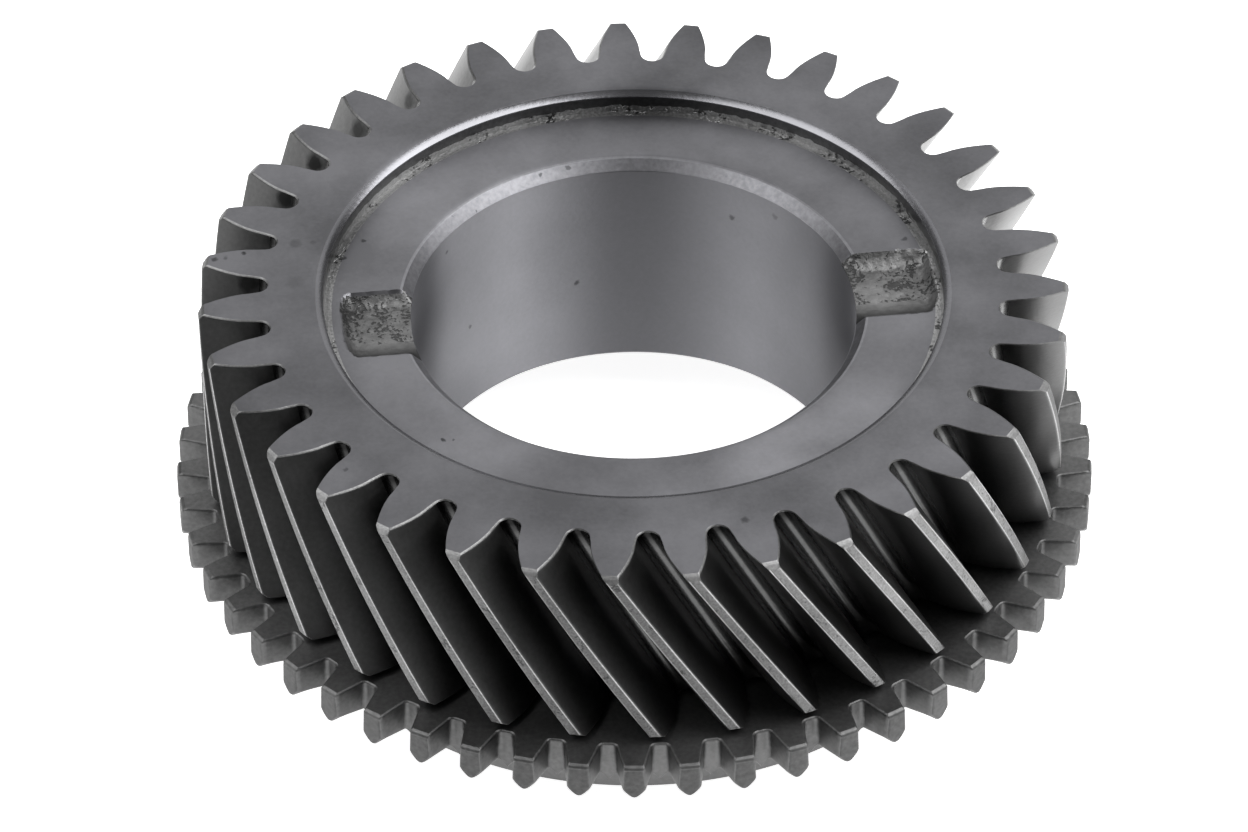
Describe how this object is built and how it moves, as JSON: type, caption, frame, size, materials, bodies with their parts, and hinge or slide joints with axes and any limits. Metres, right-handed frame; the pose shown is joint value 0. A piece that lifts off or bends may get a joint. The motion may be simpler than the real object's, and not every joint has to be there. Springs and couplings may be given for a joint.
{
  "type": "helical transmission gear with clutch cone",
  "caption": "Left-hand helical gear with a smooth running bore, a recessed thrust face with oil slots, and a pressed-on ring of pointed clutch teeth over a friction cone.",
  "frame": {"origin": "on the gear's axis, in the end plane of the friction cone, on which the gear stands", "axes": "+Z along the bore from the friction cone towards the recessed thrust face; +X along the right-hand oil slot, to within a few degrees"},
  "size_m": [0.1588, 0.1588, 0.0595],
  "materials": {
    "gear_steel": "dark case-hardened steel, satin, with finely machined faces",
    "ring_steel": "dark case-hardened steel, satin, a little duller than the gear"
  },
  "bodies": {
    "root": {"helical_gear": "gear_steel", "clutch_ring": "ring_steel"}
  },
  "joints": []
}
